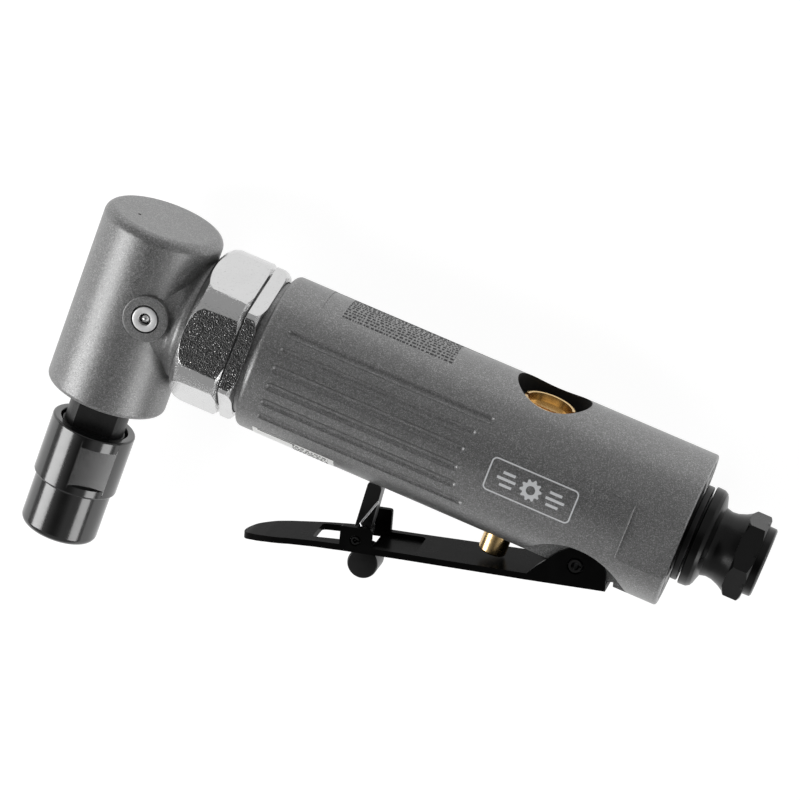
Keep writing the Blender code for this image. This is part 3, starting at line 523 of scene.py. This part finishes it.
def make_spindle():
    spindle = turned("output_spindle_shaft", [
        (15.7, 0), (15.7, 4.0, 0.4, 3), (9.0, 4.0), (9.0, 5.0), (-18.5, 5.0), (-18.5, 7.05),
        (-33.6, 7.05), (-33.6, 7.4), (-48.4, 7.4, 0.6, 3), (-48.4, 5.5), (-36.4, 4.1),
        (-36.4, 3.4), (-24.0, 3.4), (-22.4, 0),
    ], axis="Y", steps=96, closed=False)
    turn = Matrix.Rotation(math.radians(SPINDLE_FLAT_TURN), 4, "Y")
    for side in (1, -1):
        near, far = sorted((side * 5.35, side * 12.0))
        cut(spindle, block("spindle_flat", (-9, -33.2, near), (9, -25.6, far), turn=turn))
    mount(spindle, "output_spindle", BLACK_ROUGH, "spindle", slot="black_rough")

    nut = turned("collet_nut_body", [
        (-33.0, 8.1, 0.15, 3), (-33.0, 9.83, 0.45, 5), (-47.6, 9.83, 0.5, 5), (-48.0, 9.0, 0.12, 2),
        (-60.6, 9.0, 1.7, 10), (-60.6, 5.2, 0.2, 3), (-59.6, 4.9), (-50.2, 6.1), (-49.6, 7.75),
        (-33.9, 7.75),
    ], axis="Y", steps=144)
    turn = Matrix.Rotation(math.radians(NUT_FLAT_TURN), 4, "Y")
    for side in (1, -1):
        near, far = sorted((side * 8.8, side * 14.0))
        cut(nut, block("nut_flat", (-9, -45.6, near), (9, -35.8, far), turn=turn))
    mount(nut, "output_spindle", BLACK_GLOSS, "collet_nut", slot="black_gloss")

    collet = turned("slotted_collet", [
        (-37.0, 3.2), (-37.0, 3.85), (-48.2, 5.15), (-50.4, 5.15), (-50.6, 5.7), (-59.5, 4.5),
        (-60.2, 4.2, 0.3, 3), (-60.2, 3.2, 0.2, 3),
    ], axis="Y", steps=72)
    for index in range(2):
        turn = Matrix.Rotation(math.radians(45 + 90 * index), 4, "Y")
        cut(collet, block("collet_slot", (-0.4, -62, -9), (0.4, -43, 9), turn=turn))
    mount(collet, "output_spindle", BRIGHT_STEEL, "collet", slot="bright_steel")

    retainer = turned("head_retainer", [
        (-18.5, 11.1), (HEAD_BOTTOM + 0.2, 11.1, 0.3, 3), (HEAD_BOTTOM + 0.2, 7.4, 0.3, 3),
        (-18.5, 7.4),
    ], axis="Y", steps=96)
    for side in (1, -1):
        cut(retainer, rod("pin_hole", HEAD_BOTTOM - 1, HEAD_BOTTOM + 2.2, 0.8, axis="Y",
                          at=(9.3 * side, 0, 0), steps=24))
    mount(retainer, "housing", DARK_STEEL, "bearing_retainer", slot="dark_steel")


# ------------------------------------------------------------------ coupling nuts

COUPLING_CORNER = 143.5


def make_coupling():
    nut = turned("coupling_nut_body", [
        (26.5, 17.5), (25.7, 18.4), (17.6, 18.4), (16.2, 17.95), (15.2, 17.1), (14.6, 16.1),
        (14.35, 15.2, 0.3, 3), (14.35, 14.9), (15.6, 14.9), (15.6, 15.9), (26.5, 15.9),
    ], steps=192)
    trim(nut, hexagon("nut_hexagon", 34.1, 13.0, 27.5, COUPLING_CORNER))
    ease_edges(nut, 0.16, 24.0, 2)
    mount(nut, "housing", CHROME, "coupling_nut", slot="chrome", sharp=20.0)
    lock = turned("lock_ring_body", [
        (30.2, 16.9), (29.7, 17.8), (28.9, 18.3), (26.9, 18.3), (26.9, 15.9), (30.2, 15.9),
    ], steps=192)
    trim(lock, hexagon("lock_hexagon", 32.3, 26.0, 31.0, COUPLING_CORNER))
    ease_edges(lock, 0.12, 24.0, 2)
    mount(lock, "housing", CHROME, "lock_ring", slot="chrome", sharp=20.0)


# ------------------------------------------------------------------ motor barrel

LABEL_FIELD = (40.9, 79.7, 66.5, 113.5)     # along, along, degree, degree
LABEL_DEEP = 0.16
RECESS_R = 8.8                # the regulator's recess in the barrel


def sector(name, low, high, inner, outer, first, last):
    """A curved block on the motor's axis between two angles, counted from +Z to +Y."""
    pieces = 24
    corners = []
    for radius, ends in ((outer, (first, last)), (inner, (last, first))):
        for step in range(pieces + 1):
            angle = math.radians(ends[0] + (ends[1] - ends[0]) * step / pieces)
            corners.append((-radius * math.cos(angle), radius * math.sin(angle)))
    return slab(name, corners, low, high, turn=AXES["X"])


def make_barrel():
    body = turned("motor_barrel", [
        (102.0, 0), (102.0, 4.8), (122.0, 4.8), (122.0, 9.3), (130.3, 9.3), (130.3, 16.4),
        (HOUSING_REAR, 16.4, 0.2, 2), (HOUSING_REAR, HOUSING_R, 0.6, 5),
        (HOUSING_FRONT, HOUSING_R, 1.5, 8), (HOUSING_FRONT, SPIGOT_R), (18.3, SPIGOT_R),
        (18.3, 13.6), (81.2, 13.6), (81.2, 10.2), (86.8, 10.2), (86.8, 0),
    ], steps=224, closed=False)
    flute_r = 1.25
    flute_out = HOUSING_R + 0.62
    tools = []
    for side in (1, -1):
        for index in range(6):
            angle = math.radians(36.2 - 13.5 * index)
            bow = abs(index - 2.5) - 0.5
            rear = 83.4 + 0.85 * bow * bow
            corners = [(rear, 0), (rear, flute_r, flute_r * 0.99, 8),
                       (36.5, flute_r, flute_r * 0.99, 8), (36.5, 0)]
            where = (0, flute_out * math.sin(angle), side * flute_out * math.cos(angle))
            tools.append(turned("flute", corners, at=where, steps=32, closed=False))
        outline = [(121.2, 19.5), (122.3, 16.75, 0.6, 5), (140.0, 16.75), (140.0, 19.5)]
        turn = Matrix.Translation((0, 0.8, 0)) @ Matrix.Rotation(math.pi / 2 * side, 4, "X")
        tools.append(slab("wrench_flat", outline, -12, 12, turn=turn))
        low, high = sorted((side * 6.6, side * 20.0))
        tools.append(rod("scallop", low, high, 14.0, axis="Z", at=(114.6, -22.6, 0), steps=128))
        tools.append(rod("exhaust_way", 80.2, 131.5, 1.6, at=(0, 6.5, side * 10.5), steps=24))
    tools.append(turned("valve_bore", [
        (24.0, 0), (24.0, RECESS_R), (13.1, RECESS_R), (13.1, 6.6), (-9.0, 6.6), (-9.0, 3.5), (-13.0, 3.5),
        (-13.0, 4.9), (-15.0, 4.9), (-15.0, 3.5), (-22.0, 3.5), (-22.0, 0),
    ], axis="Y", at=(VALVE_X, 0, 0), steps=96, closed=False))
    tools.append(rod("air_way", 86.0, 91.0, 2.2, at=(0, -6.0, 0), steps=24))
    tools.append(block("lever_seat", (-3.4, -14, -8.7), (8.6, PLATE_UNDER + PLATE_THICK + 0.4, 8.7),
                       LEVER))
    tools.append(rod("pin_hole", -8, 8, 1.9, LEVER, "Z", steps=32))
    tools.append(block("latch_landing", (58.0, -20, -4.2), (76.0, -16.35, 4.2)))
    low, high, first, last = LABEL_FIELD
    tools.append(sector("label_field", low, high, HOUSING_R - LABEL_DEEP, HOUSING_R + 2,
                        first, last))
    cut(body, *tools)
    mount(body, "housing", GREY_PAINT, "motor_housing", slot="grey_paint")
    # The faces inside the regulator's recess take the near-black finish: painted shade in the recess.
    darken(body, BORE_SHADE_BLACK, in_regulator_bore)


def in_regulator_bore(point):
    return math.hypot(point.x - VALVE_X, point.z) < RECESS_R + 0.04 and point.y > 12.0


def darken(piece, material, test):
    """Gives a second finish to the faces whose middle passes the test, in the tool's axes."""
    piece.data.materials.append(material)
    to_tool = TOOL.inverted() @ piece.matrix_world
    for polygon in piece.data.polygons:
        if test(to_tool @ polygon.center):
            polygon.material_index = 1


def on_barrel_sheet(name, outline, base, thick, holes=(), steps=12):
    """A thin sheet wrapped on the barrel; outline points are (along, degrees)."""
    flat = slab(name, outline, 0.0, 1.0, Matrix.Identity(4))
    for number, hole in enumerate(holes):
        cut(flat, slab("hole_%d" % number, hole, -1.0, 2.0, Matrix.Identity(4)))
    bm = bmesh.new()
    bm.from_mesh(flat.data)
    degrees = [vert.co.y for vert in bm.verts]
    low, high = min(degrees), max(degrees)
    for index in range(1, steps):
        bmesh.ops.bisect_plane(bm, geom=bm.verts[:] + bm.edges[:] + bm.faces[:],
                               plane_co=(0, low + (high - low) * index / steps, 0),
                               plane_no=(0, 1, 0))
    for vert in bm.verts:
        angle = math.radians(vert.co.y)
        radius = HOUSING_R + base + thick * vert.co.z
        vert.co = Vector((vert.co.x, radius * math.sin(angle), radius * math.cos(angle)))
    bpy.data.meshes.remove(flat.data)
    return to_object(name, bm, TOOL)


def on_barrel(name, outline, base, thick, material, holes=(), steps=12):
    """A thin sheet wrapped on the barrel, finished and set on the housing."""
    return mount(on_barrel_sheet(name, outline, base, thick, holes, steps), "housing", material)


DEGREES_PER_MM = math.degrees(1 / HOUSING_R)


def panel(left, right, low, high):
    """A four-cornered outline on the barrel, in millimetres along and degrees round."""
    return [(left, low), (right, low), (right, high), (left, high)]


def stretched(outline):
    """Rounds an outline in millimetres, then turns its second value into degrees."""
    return [(a, b * DEGREES_PER_MM) for a, b in rounded(outline)]


def make_markings():
    """A plain outlined badge with a toothed ring, and blank labels."""
    left, right, low, high = 89.5, 110.2, -11.0, 14.8
    arc_low, arc_high = low / DEGREES_PER_MM, high / DEGREES_PER_MM
    line = 0.34

    def rounded_box(inset, radius):
        near, far = left + inset, right - inset
        below, above = arc_low + inset, arc_high - inset
        corners = [(near, below), (far, below), (far, above), (near, above)]
        return stretched([(*corner, radius, 6) for corner in corners])

    on_barrel("badge_border", rounded_box(0, 1.2), 0.005, 0.06, PRINT,
              holes=[rounded_box(line, 1.2 - line)])
    middle = Vector(((left + right) / 2, (arc_low + arc_high) / 2))
    cog = []
    teeth = 10
    for step in range(teeth * 4):
        angle = math.tau * (step + 0.5) / (teeth * 4)
        radius = 2.5 if step % 4 < 2 else 1.95
        cog.append((middle.x + radius * math.cos(angle), middle.y + radius * math.sin(angle)))
    bore = [(middle.x + 1.05 * math.cos(math.tau * step / 24),
             middle.y + 1.05 * math.sin(math.tau * step / 24)) for step in range(24)]
    on_barrel("badge_cog", stretched(cog), 0.005, 0.06, PRINT,
              holes=[stretched(bore)], steps=8)
    for side in (1, -1):
        for row in (-1, 0, 1):
            inner = middle.x + side * (3.6 + 0.5 * abs(row))
            outer = middle.x + side * (8.0 - 1.0 * abs(row))
            near, far = sorted((inner, outer))
            level = middle.y + 1.45 * row
            below, above = level - 0.32, level + 0.32
            bar = [(near, below), (far, below), (far, above), (near, above)]
            on_barrel("badge_bar_%d_%d" % (side + 1, row + 1), stretched(bar),
                      0.005, 0.06, PRINT, steps=2)
    print_rows("top_print", 45.8, 72.4, 68.4, 111.6, 13, -LABEL_DEEP)
    on_barrel("lower_label", panel(36.2, 56.0, -88.0, -49.6), 0.005, 0.06, STICKER, steps=16)
    print_rows("lower_print", 46.0, 54.6, -85.0, -53.0, 9, 0.06)
    on_barrel("label_stripe", panel(37.4, 46.5, -51.6, -50.2), 0.065, 0.03, DARK_PRINT, steps=2)


def print_rows(name, left, right, low, high, rows, base):
    """Rows of short dashes that stand for small print, all in one thin sheet."""
    draw = random.Random(7)
    sheet = None
    for row in range(rows):
        level = low + (high - low) * row / (rows - 1)
        spot = left
        while spot < right:
            end = min(spot + draw.uniform(0.25, 0.9), right)
            dash = panel(spot, end, level - 0.75, level + 0.75)
            piece = on_barrel_sheet(name, dash, base + 0.005, 0.05, steps=1)
            sheet = piece if sheet is None else add_mesh(sheet, piece)
            spot = end + draw.uniform(0.15, 0.55)
    mount(sheet, "housing", DARK_PRINT)


def add_mesh(piece, other):
    """Adds another piece's mesh to this one's, without joining their surfaces."""
    bm = bmesh.new()
    bm.from_mesh(piece.data)
    bm.from_mesh(other.data)
    bm.to_mesh(piece.data)
    bm.free()
    used = other.data
    bpy.data.objects.remove(other)
    bpy.data.meshes.remove(used)
    return piece


# ----------------------------------------------------------------------- valve

SPRING_LOW = -2.95
SPRING_HIGH = 6.65
SPRING_TURNS = 4.5
SPRING_R = 3.6
SPRING_WIRE = 0.66
SPRING_END = 0.35             # from the wire's middle to the seat at each end
PIECES_PER_TURN = 24

def make_valve():
    screw = turned("regulator", [
        (13.0, 0), (13.0, 4.9), (14.75, 5.25, 0.08, 2), (14.8, 6.15, 0.25, 4), (10.9, 6.15),
        (10.9, 5.1), (9.3, 5.1), (9.3, 6.15), (7.3, 6.15, 0.3, 2), (7.3, 0),
    ], VALVE, "Y", steps=96, closed=False)
    cut(screw, block("screwdriver_slot", (-8, 12.4, -0.75), (8, 16, 0.75), VALVE))
    mount(screw, "air_regulator", BRASS, "regulator_screw", slot="brass")
    pin = turned("throttle_plunger", [
        (-5.9, 0), (-5.9, 2.2), (-12.0, 2.2), (-12.0, 3.2, 0.2, 2), (-23.0, 3.2, 0.5, 5),
        (-23.0, 0),
    ], VALVE, "Y", steps=64, closed=False)
    mount(pin, "throttle_valve", BRASS, "throttle_pin", slot="brass")

    pieces = int(SPRING_TURNS * PIECES_PER_TURN)
    coil = []
    for step in range(pieces + 1):
        angle = math.tau * step / PIECES_PER_TURN
        climb = SPRING_LOW + (SPRING_HIGH - SPRING_LOW) * step / pieces
        coil.append((SPRING_R * math.cos(angle), climb, SPRING_R * math.sin(angle)))
    spring = wire("valve_return_spring", coil, SPRING_WIRE, VALVE)
    mount(spring, "housing", SPRING_STEEL, "valve_spring", slot="bright_steel")
    travel = JOINTS["throttle_pin_slide"]["range_m"][1] / MM
    1 - travel / (SPRING_HIGH - SPRING_LOW + 2 * SPRING_END)
    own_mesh(spring)


# --------------------------------------------------------- lever and its latch

def plan_outline(corners):
    """An outline given as (along, across), laid flat in the lever's own axes."""
    return [(along, -across, *rest) for along, across, *rest in corners]


def make_lever():
    top = PLATE_UNDER + PLATE_THICK
    side_view = [
        (7.2, PLATE_UNDER), (7.2, top), (-54.0, top, 20.0, 4), (-60.0, top - 0.3, 20.0, 3),
        (-66.0, top - 0.8, 20.0, 3), (-72.0, top - 1.4, 15.0, 3), (-76.0, top - 2.0, 8.0, 4),
        (-78.4, top - 2.8, 0.5, 4), (-77.9, top - 4.1, 0.5, 4), (-75.4, top - 3.4, 6.0, 4),
        (-71.6, top - 2.8, 15.0, 3), (-65.6, top - 2.2, 20.0, 3), (-59.8, top - 1.75, 20.0, 3),
        (-53.8, PLATE_UNDER, 20.0, 3),
    ]
    lever = slab("lever_plate", side_view, -10.0, 10.0, LEVER)
    half, ear = LEVER_HALF_WIDTH, LEVER_EAR_OUTER
    plan = [(-55.0, -half, 20.0, 5), (-40.0, -half, 40.0, 6), (-10.0, -ear, 20.0, 6), (8.0, -ear),
            (8.0, ear), (-10.0, ear, 20.0, 6), (-40.0, half, 40.0, 6), (-55.0, half, 20.0, 5)]
    for step in range(TIP_STEPS + 1):
        turn = math.pi * step / TIP_STEPS
        plan.append((TIP_START - TIP_LENGTH * math.sin(turn), TIP_HALF_WIDTH * math.cos(turn)))
    flat = Matrix.Rotation(math.pi / 2, 4, "X")
    trim(lever, slab("lever_plan", plan_outline(plan), -6.0, 12.0, LEVER, flat))
    ear_view = [(7.2, PLATE_UNDER), (7.0, -1.0, 0.6, 4), (5.6, 2.6, 1.6, 6), (1.2, 5.2, 3.0, 8),
                (-4.2, 2.6, 2.0, 6), (-8.6, -1.2, 2.0, 5), (-12.3, PLATE_UNDER)]
    thick = 1.3
    for side, front, rear, height in ((1, -3.6, 3.7, 1.0), (-1, -2.4, 5.1, 1.7)):
        low, high = sorted((side * (ear - thick), side * ear))
        join(lever, slab("pivot_ear", ear_view, low, high, LEVER))
        latch_ear = [(LATCH_ALONG + rear, PLATE_UNDER), (LATCH_ALONG + rear, height, 0.6, 4),
                     (LATCH_ALONG + front, height, 0.6, 4), (LATCH_ALONG + front, PLATE_UNDER)]
        low, high = sorted((side * (half - thick), side * half))
        join(lever, slab("latch_ear", latch_ear, low, high, LEVER))
    slot_end = [(-61.2, -4.1, 0.8, 4), (LATCH_ALONG + 1.0, -4.1), (LATCH_ALONG + 1.0, 5.7),
                (-61.2, 5.7, 0.8, 4)]
    pocket = [(LATCH_ALONG + 2.2, -5.7), (-36.8, -5.7, 1.4, 6), (-36.8, 5.7, 1.4, 6),
              (LATCH_ALONG + 2.2, 5.7)]
    cut(lever, rod("pin_hole", -12, 12, 1.95, LEVER, "Z", steps=40),
        rod("latch_pin_hole", -12, 12, 1.3, LATCH, "Z", steps=32),
        block("latch_gap", (LATCH_ALONG - 3.6, -8, -5.9), (LATCH_ALONG + 3.2, -2, 5.9), LEVER),
        slab("latch_slot", plan_outline(slot_end), 2.0, 8.0, LEVER, flat),
        slab("latch_pocket", plan_outline(pocket), -top - 1.0, -top + 0.9, LEVER, flat))
    ease_edges(lever, 0.2, 30.0, 2)
    mount(lever, "lever", LEVER_BLACK, "throttle_lever", slot="black_gloss", sharp=35.0,
          edges=RUBBED_EDGE)


def roll_pin(name, half_length, radius, frame_of, body, node):
    """A hollow spring pin with its slit."""
    pin = turned(name, [
        (half_length, radius * 0.6), (half_length, radius - 0.1), (half_length - 0.4, radius),
        (-half_length + 0.4, radius), (-half_length, radius - 0.1), (-half_length, radius * 0.6),
    ], frame_of, "Z", steps=48)
    cut(pin, block("slit", (0.0, -0.2, -half_length - 1), (3.0, 0.2, half_length + 1), frame_of))
    mount(pin, body, BLACK_SATIN, node, slot="black_satin")


def make_latch():
    bar = slab("latch_bar", [
        (1.7, -1.0), (4.2, 12.0, 1.2, 6), (0.8, 12.35, 0.5, 4), (-2.0, -0.6), (-2.1, -3.4),
        (1.8, -3.4),
    ], -2.2, 2.2, LATCH)
    hub = rod("latch_hub", -3.2, 3.2, 2.1, LATCH, "Z", steps=48)
    thumb = rod("latch_thumb", -3.5, 3.5, 3.55, LATCH, "Z", (1.15, -6.6, 0), 72, 0.4)
    join(bar, hub, thumb)
    cut(bar, rod("latch_bore", -5, 5, 1.3, LATCH, "Z", steps=32))
    ease_edges(bar, 0.18, 30.0, 3)
    mount(bar, "lock_off_latch", BLACK_SATIN, "safety_latch", slot="black_satin",
          edges=RUBBED_EDGE)

    points = rounded_path([(3.6, 8.3, 2.6), (2.4, 6.5, 2.75), (1.1, 4.5, 3.1), (-0.1, 2.6, 3.5)])
    turns, sides = 2.75, 28
    for step in range(int(turns * sides) + 1):
        angle = math.radians(60) - math.tau * step / sides
        points.append((1.75 * math.cos(angle), 1.75 * math.sin(angle), 3.85 + 0.62 * step / sides))
    mount(wire("latch_return_spring", points, 0.5, LATCH), "lock_off_latch", SPRING_STEEL,
          "latch_spring", slot="bright_steel")
    roll_pin("lever_roll_pin", LEVER_EAR_OUTER + 0.1, 1.6, LEVER, "housing", "lever_pin")
    roll_pin("latch_roll_pin", LEVER_HALF_WIDTH + 0.1, 1.0, LATCH, "lever", "latch_pin")


def rounded_path(corners, pieces=6):
    """A smooth line through a few points (Catmull-Rom)."""
    spots = [Vector(corner) for corner in corners]
    spots = [spots[0] * 2 - spots[1], *spots, spots[-1] * 2 - spots[-2]]
    line = []
    for first, second, third, fourth in zip(spots, spots[1:], spots[2:], spots[3:]):
        for step in range(pieces):
            part = step / pieces
            line.append(0.5 * ((2 * second) + (third - first) * part
                               + (2 * first - 5 * second + 4 * third - fourth) * part ** 2
                               + (3 * second - first - 3 * third + fourth) * part ** 3))
    return line


# -------------------------------------------------------------------- air inlet

def make_inlet():
    bushing = turned("inlet_bushing", [
        (152.6, 7.6, 0.2, 3), (152.3, 8.05, 0.2, 3), (150.7, 8.1), (150.6, 9.3),
        (150.1, 10.25, 0.3, 3),
        (146.9, 10.25, 0.3, 3), (146.2, 9.3), (144.9, 8.55), (143.2, 7.9), (141.8, 7.75, 1.5, 5),
        (140.4, 8.1), (139.7, 10.3), (139.3, 11.0), (138.5, 11.5, 0.6, 4), (136.6, 11.6, 0.2, 2),
        (136.4, 9.0), (122.6, 9.0), (122.6, 4.8), (127.6, 4.8), (129.0, 6.1), (152.6, 6.1, 0.5, 3),
    ], steps=144)
    body = rod("inlet_round", 121.0, 146.0, 14.0, steps=64)
    join(body, hexagon("inlet_hexagon", 17.8, 145.0, 150.7, 0.0),
         rod("inlet_tip", 150.0, 153.5, 9.0, steps=64))
    trim(bushing, body)
    ease_edges(bushing, 0.12, 24.0, 2)
    mount(bushing, "housing", INLET_BLACK, "air_inlet", slot="black_satin", sharp=20.0)
    washer = turned("inlet_gasket", [
        (134.6, 9.4), (136.1, 9.4), (136.1, 11.2, 0.25, 3), (134.6, 11.2, 0.25, 3)][::-1], steps=96)
    mount(washer, "housing", BLACK_SATIN, "inlet_washer", slot="black_satin")
    ring = turned("exhaust_ring", [
        (134.1, 16.1, 0.3, 3), (132.6, 16.1, 0.3, 3), (132.6, 9.6), (134.1, 9.6, 0.3, 3),
    ], steps=128)
    vents = []
    for index in range(VENTS):
        angle = math.tau * (index + 0.5) / VENTS
        vents.append(rod("vent", 131.0, 136.0, 1.3, steps=28,
                         at=(0, 13.7 * math.cos(angle), 13.7 * math.sin(angle))))
    cut(ring, *vents)
    ease_edges(ring, 0.1, 40.0, 2)
    mount(ring, "housing", BLACK_SATIN, "exhaust_deflector", slot="black_satin")


# ---------------------------------------------------------- studio and assembly

INNER_FINISHES = {
    "front_motor_bearing": BRIGHT_STEEL, "rear_motor_bearing": BRIGHT_STEEL,
    "front_pinion_bearing": BRIGHT_STEEL, "rear_pinion_bearing": BRIGHT_STEEL,
    "upper_spindle_bearing": BRIGHT_STEEL, "lower_spindle_bearing": BRIGHT_STEEL,
    "rotor": BRIGHT_STEEL,
    "bevel_gear": DARK_STEEL, "bevel_pinion": DARK_STEEL, "pinion_spacer": DARK_STEEL,
    "front_end_plate": CAST_IRON, "rear_end_plate": CAST_IRON, "motor_cylinder": CAST_IRON,
    "valve_seat": BRASS, "inlet_screen": BRASS,
    "regulator_seal": RUBBER, "plunger_seal": RUBBER, "valve_poppet": RUBBER,
    "exhaust_muffler": FELT,
    "vane_1": LAMINATE, "vane_2": LAMINATE, "vane_3": LAMINATE, "vane_4": LAMINATE,
    "vane_5": LAMINATE,
}


def finish_inner_nodes():
    for name, material in INNER_FINISHES.items():
        frame["nodes"][name].material_slots[0].material = material


def softbox(name, place, aim, width, height, brightness):
    """A large diffuse panel; brightness is what the camera would see in it."""
    data = bpy.data.lights.new(name, "AREA")
    data.shape = "RECTANGLE"
    data.size, data.size_y = width, height
    data.energy = brightness * math.pi * width * height
    light = bpy.data.objects.new(name, data)
    bpy.context.scene.collection.objects.link(light)
    light.location = place
    light.rotation_euler = (Vector(aim) - Vector(place)).to_track_quat("-Z", "Y").to_euler()


def make_studio():
    floor_paint = Finish("white_table", (0.25, 0.25, 0.25), 0.6, Emission_Strength=0.91,
                         Emission_Color=(1.0, 1.0, 1.0, 1.0))
    floor_paint.put(Roughness=0.55 + floor_paint.noise(8.0) * 0.1)
    bm = bmesh.new()
    bmesh.ops.create_grid(bm, x_segments=1, y_segments=1, size=2500.0)
    floor = to_object("table_top", bm, Matrix.Scale(MM, 4) @ Matrix.Translation((0, 0, -0.05)))
    floor.data.materials.append(floor_paint.material)

    world = bpy.data.worlds.new("studio")
    world.use_nodes = True
    nodes, links = world.node_tree.nodes, world.node_tree.links
    place = nodes.new("ShaderNodeTexCoord")
    split = nodes.new("ShaderNodeSeparateXYZ")
    ramp = nodes.new("ShaderNodeValToRGB")
    links.new(place.outputs["Generated"], split.inputs[0])
    links.new(split.outputs["Z"], ramp.inputs["Fac"])
    elements = ramp.color_ramp.elements
    stops = ((0.0, 0.45), (0.25, 0.42), (0.84, 0.42), (0.93, 0.03))
    for index, (height, light) in enumerate(stops):
        stop = elements[index] if index < 2 else elements.new(height)
        stop.position = height
        stop.color = (light, light, light, 1.0)
    links.new(ramp.outputs["Color"], nodes["Background"].inputs["Color"])
    nodes["Background"].inputs["Strength"].default_value = 1.0
    bpy.context.scene.world = world
    softbox("left_panel", (-0.78, -0.34, 0.55), (-0.08, 0.0, 0.02), 0.30, 0.55, 7.6)
    softbox("right_panel", (0.80, -0.40, 0.42), (-0.06, 0.0, 0.02), 0.30, 0.45, 4.8)
    bpy.context.scene.view_settings.view_transform = "Standard"


def make_camera():
    data = bpy.data.cameras.new("camera")
    data.lens = 184.75
    data.clip_start, data.clip_end = 0.05, 20.0
    camera = bpy.data.objects.new("camera", data)
    bpy.context.scene.collection.objects.link(camera)
    camera.location = (0.09758, 0.33207, 0.87725)
    camera.rotation_euler = Euler([math.radians(turn) for turn in (-16.104, 13.362, 20.251)])
    bpy.context.scene.camera = camera


make_head()
make_spindle()
make_coupling()
make_barrel()
make_markings()
make_valve()
make_lever()
make_latch()
make_inlet()
finish_inner_nodes()
make_studio()
make_camera()

bpy.context.view_layer.update()
